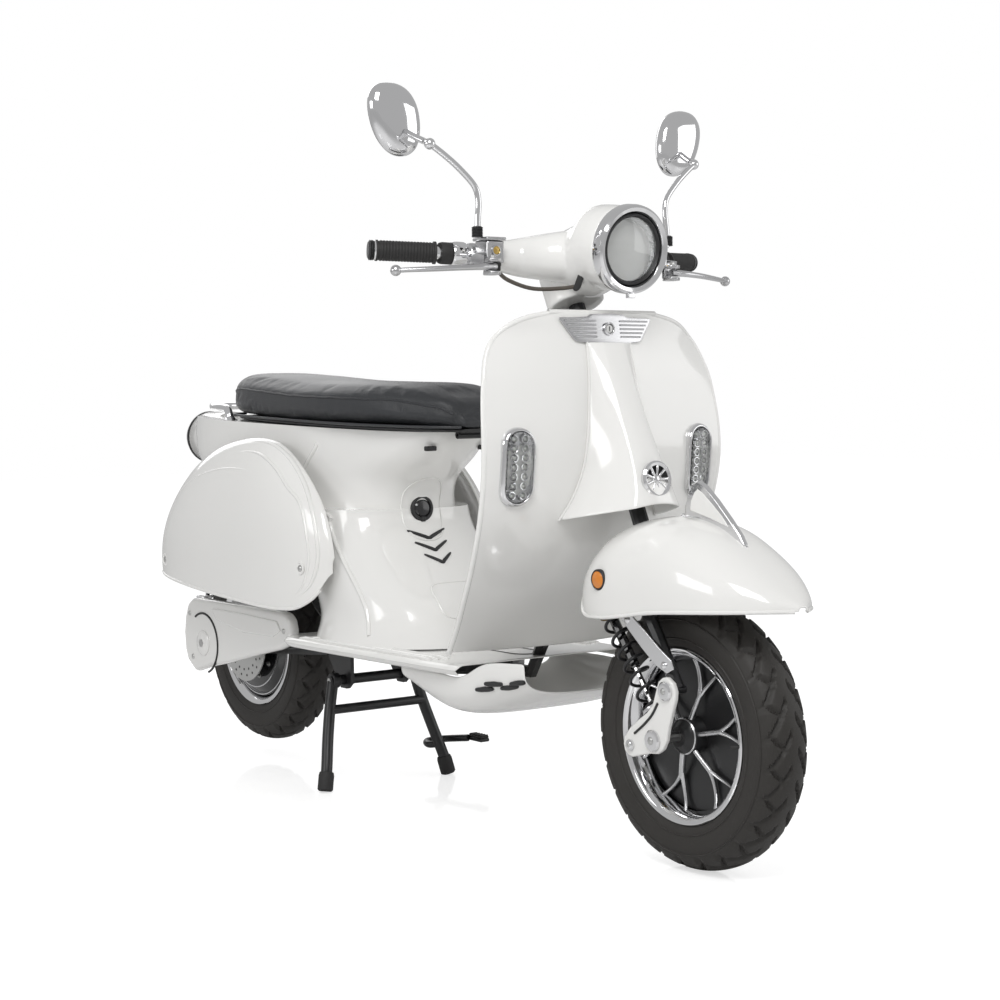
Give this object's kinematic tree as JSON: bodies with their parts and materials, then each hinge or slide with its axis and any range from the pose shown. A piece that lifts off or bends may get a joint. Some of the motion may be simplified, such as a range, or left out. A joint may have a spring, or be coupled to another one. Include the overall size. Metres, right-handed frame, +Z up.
{
  "type": "moped scooter",
  "caption": "Step-through electric moped scooter with pressed body, leg shield, side cowls, trailing-link front end, hub motor rear wheel and centre stand.",
  "frame": {"origin": "on the floor, midway along the scooter, on its centre plane", "axes": "+X forward, +Y to the rider's left, +Z up"},
  "size_m": [1.871, 0.726, 1.2641],
  "materials": {
    "white_paint": "gloss pearl white",
    "black_frame": "satin black",
    "chrome": "polished",
    "silver": "satin",
    "black_plastic": "matt",
    "rubber": "ribbed",
    "tyre": "matt",
    "vinyl": "grained",
    "clear_lens": "clear",
    "red_lens": "clear red",
    "disc_steel": "ground"
  },
  "bodies": {
    "chassis": {"frame": "black_frame", "leg_shield": "white_paint", "inner_shield": "white_paint", "front_panel": "white_paint", "indicator_right": "clear_lens", "indicator_left": "clear_lens", "footboard": "white_paint", "belly_fairing": "white_paint", "rear_body": "white_paint", "side_cowl_right": "white_paint", "side_cowl_left": "white_paint", "grab_rail": "chrome", "tail_lamp": "red_lens", "rear_mudguard": "black_plastic", "battery_pack": "black_plastic"},
    "seat": {"seat_pan": "black_plastic", "seat_cushion": "vinyl"},
    "stand": {"centre_stand": "black_frame"},
    "rear_swing": {"swingarm": "black_frame", "swingarm_cover": "white_paint", "rear_caliper": "silver", "rear_axle": "silver"},
    "rear_wheel": {"rear_tyre": "tyre", "rear_rim": "black_frame", "rear_disc": "disc_steel"},
    "steering": {"fork": "black_frame", "front_fender": "white_paint", "headset_cover": "white_paint", "headlight_ring": "chrome", "headlight_lens": "clear_lens", "handlebar": "chrome", "master_cylinder_right": "silver", "master_cylinder_left": "silver", "grip_left": "rubber"},
    "throttle": {"throttle_grip": "rubber"},
    "front_link": {"front_link_right": "white_paint", "front_link_left": "white_paint", "front_axle": "silver", "front_caliper": "silver"},
    "front_wheel": {"front_tyre": "tyre", "front_rim": "chrome", "front_disc": "disc_steel"},
    "front_shock_right": {"front_shock_body_right": "black_frame", "front_shock_spring_right": "black_frame"},
    "front_shock_right_rod": {"front_shock_rod_right": "chrome"},
    "rear_shock_right": {"rear_shock_body_right": "black_frame", "rear_shock_spring_right": "black_frame"},
    "rear_shock_right_rod": {"rear_shock_rod_right": "chrome"},
    "lever_right": {"brake_lever_right": "silver"},
    "mirror_stem_right": {"mirror_stem_right": "chrome"},
    "mirror_right": {"mirror_head_right": "chrome"},
    "front_shock_left": {"front_shock_body_left": "black_frame", "front_shock_spring_left": "black_frame"},
    "front_shock_left_rod": {"front_shock_rod_left": "chrome"},
    "rear_shock_left": {"rear_shock_body_left": "black_frame", "rear_shock_spring_left": "black_frame"},
    "rear_shock_left_rod": {"rear_shock_rod_left": "chrome"},
    "lever_left": {"brake_lever_left": "silver"},
    "mirror_stem_left": {"mirror_stem_left": "chrome"},
    "mirror_left": {"mirror_head_left": "chrome"}
  },
  "joints": [
    {"name": "steering_turn", "type": "hinge", "parent": "chassis", "child": "steering", "pos_m": [0.4015, 0, 0.905], "axis": [-0.4147, 0, 0.91], "range_deg": [-35, 35]},
    {"name": "front_link_pivot", "type": "hinge", "parent": "steering", "child": "front_link", "pos_m": [0.7345, 0, 0.297], "axis": [0, 1, 0], "range_deg": [0, 10], "stiffness_Nm_per_rad": 900, "springref_deg": -6.88},
    {"name": "front_wheel_spin", "type": "hinge", "parent": "front_link", "child": "front_wheel", "pos_m": [0.7045, 0, 0.216], "axis": [0, 1, 0], "continuous": true},
    {"name": "rear_swing_pivot", "type": "hinge", "parent": "chassis", "child": "rear_swing", "pos_m": [-0.2805, 0, 0.268], "axis": [0, 1, 0], "range_deg": [0, 6], "stiffness_Nm_per_rad": 4000, "springref_deg": -1.15},
    {"name": "rear_wheel_spin", "type": "hinge", "parent": "rear_swing", "child": "rear_wheel", "pos_m": [-0.6455, 0, 0.246], "axis": [0, 1, 0], "continuous": true},
    {"name": "seat_hinge", "type": "hinge", "parent": "chassis", "child": "seat", "pos_m": [0.0925, 0, 0.684], "axis": [0, 1, 0], "range_deg": [0, 70]},
    {"name": "stand_pivot", "type": "hinge", "parent": "chassis", "child": "stand", "pos_m": [-0.2455, 0, 0.205], "axis": [0, 1, 0], "range_deg": [0, 85]},
    {"name": "throttle_twist", "type": "hinge", "parent": "steering", "child": "throttle", "pos_m": [0.2975, -0.349, 0.994], "axis": [-0.4059, -0.9132, 0.0369], "range_deg": [0, 70], "stiffness_Nm_per_rad": 0.4, "springref_deg": -22.92},
    {"name": "front_shock_right_tilt", "type": "hinge", "parent": "steering", "child": "front_shock_right", "pos_m": [0.5605, -0.07, 0.417], "axis": [0, 1, 0], "range_deg": [0, 0.727]},
    {"name": "front_shock_right_slide", "type": "slide", "parent": "front_shock_right", "child": "front_shock_right_rod", "axis": [-0.6, 0, 0.8], "range_m": [0, 0.01389], "deforming": ["front_shock_spring_right"]},
    {"name": "rear_shock_right_tilt", "type": "hinge", "parent": "chassis", "child": "rear_shock_right", "pos_m": [-0.6635, -0.118, 0.512], "axis": [0, 1, 0], "range_deg": [0, 2.17]},
    {"name": "rear_shock_right_slide", "type": "slide", "parent": "rear_shock_right", "child": "rear_shock_right_rod", "axis": [0.2468, 0, 0.9691], "range_m": [0, 0.04742], "deforming": ["rear_shock_spring_right"]},
    {"name": "brake_lever_right_pull", "type": "hinge", "parent": "steering", "child": "lever_right", "pos_m": [0.4265, -0.192, 0.965], "axis": [0, 0, -1], "range_deg": [0, 12], "stiffness_Nm_per_rad": 2.5, "springref_deg": -11.46},
    {"name": "mirror_right_swivel", "type": "hinge", "parent": "steering", "child": "mirror_stem_right", "pos_m": [0.4005, -0.205, 1.013], "axis": [0, 0, 1], "range_deg": [-30, 30]},
    {"name": "mirror_right_tilt", "type": "hinge", "parent": "mirror_stem_right", "child": "mirror_right", "pos_m": [0.3825, -0.283, 1.16], "axis": [0, 1, 0], "range_deg": [-12, 12]},
    {"name": "front_shock_left_tilt", "type": "hinge", "parent": "steering", "child": "front_shock_left", "pos_m": [0.5605, 0.07, 0.417], "axis": [0, 1, 0], "range_deg": [0, 0.727]},
    {"name": "front_shock_left_slide", "type": "slide", "parent": "front_shock_left", "child": "front_shock_left_rod", "axis": [-0.6, 0, 0.8], "range_m": [0, 0.01389], "deforming": ["front_shock_spring_left"]},
    {"name": "rear_shock_left_tilt", "type": "hinge", "parent": "chassis", "child": "rear_shock_left", "pos_m": [-0.6635, 0.118, 0.512], "axis": [0, 1, 0], "range_deg": [0, 2.17]},
    {"name": "rear_shock_left_slide", "type": "slide", "parent": "rear_shock_left", "child": "rear_shock_left_rod", "axis": [0.2468, 0, 0.9691], "range_m": [0, 0.04742], "deforming": ["rear_shock_spring_left"]},
    {"name": "brake_lever_left_pull", "type": "hinge", "parent": "steering", "child": "lever_left", "pos_m": [0.4265, 0.192, 0.965], "axis": [0, 0, 1], "range_deg": [0, 12], "stiffness_Nm_per_rad": 2.5, "springref_deg": -11.46},
    {"name": "mirror_left_swivel", "type": "hinge", "parent": "steering", "child": "mirror_stem_left", "pos_m": [0.4005, 0.205, 1.013], "axis": [0, 0, 1], "range_deg": [-30, 30]},
    {"name": "mirror_left_tilt", "type": "hinge", "parent": "mirror_stem_left", "child": "mirror_left", "pos_m": [0.3825, 0.283, 1.16], "axis": [0, 1, 0], "range_deg": [-12, 12]}
  ],
  "couplings": [
    {"joint": "front_shock_right_tilt", "follows": "front_link_pivot", "ratio": 0.042718},
    {"joint": "front_shock_right_slide", "follows": "front_link_pivot", "m_per_rad": 0.068098},
    {"joint": "rear_shock_right_tilt", "follows": "rear_swing_pivot", "ratio": 0.31243},
    {"joint": "rear_shock_right_slide", "follows": "rear_swing_pivot", "m_per_rad": 0.43372},
    {"joint": "front_shock_left_tilt", "follows": "front_link_pivot", "ratio": 0.042718},
    {"joint": "front_shock_left_slide", "follows": "front_link_pivot", "m_per_rad": 0.068098},
    {"joint": "rear_shock_left_tilt", "follows": "rear_swing_pivot", "ratio": 0.31243},
    {"joint": "rear_shock_left_slide", "follows": "rear_swing_pivot", "m_per_rad": 0.43372}
  ]
}
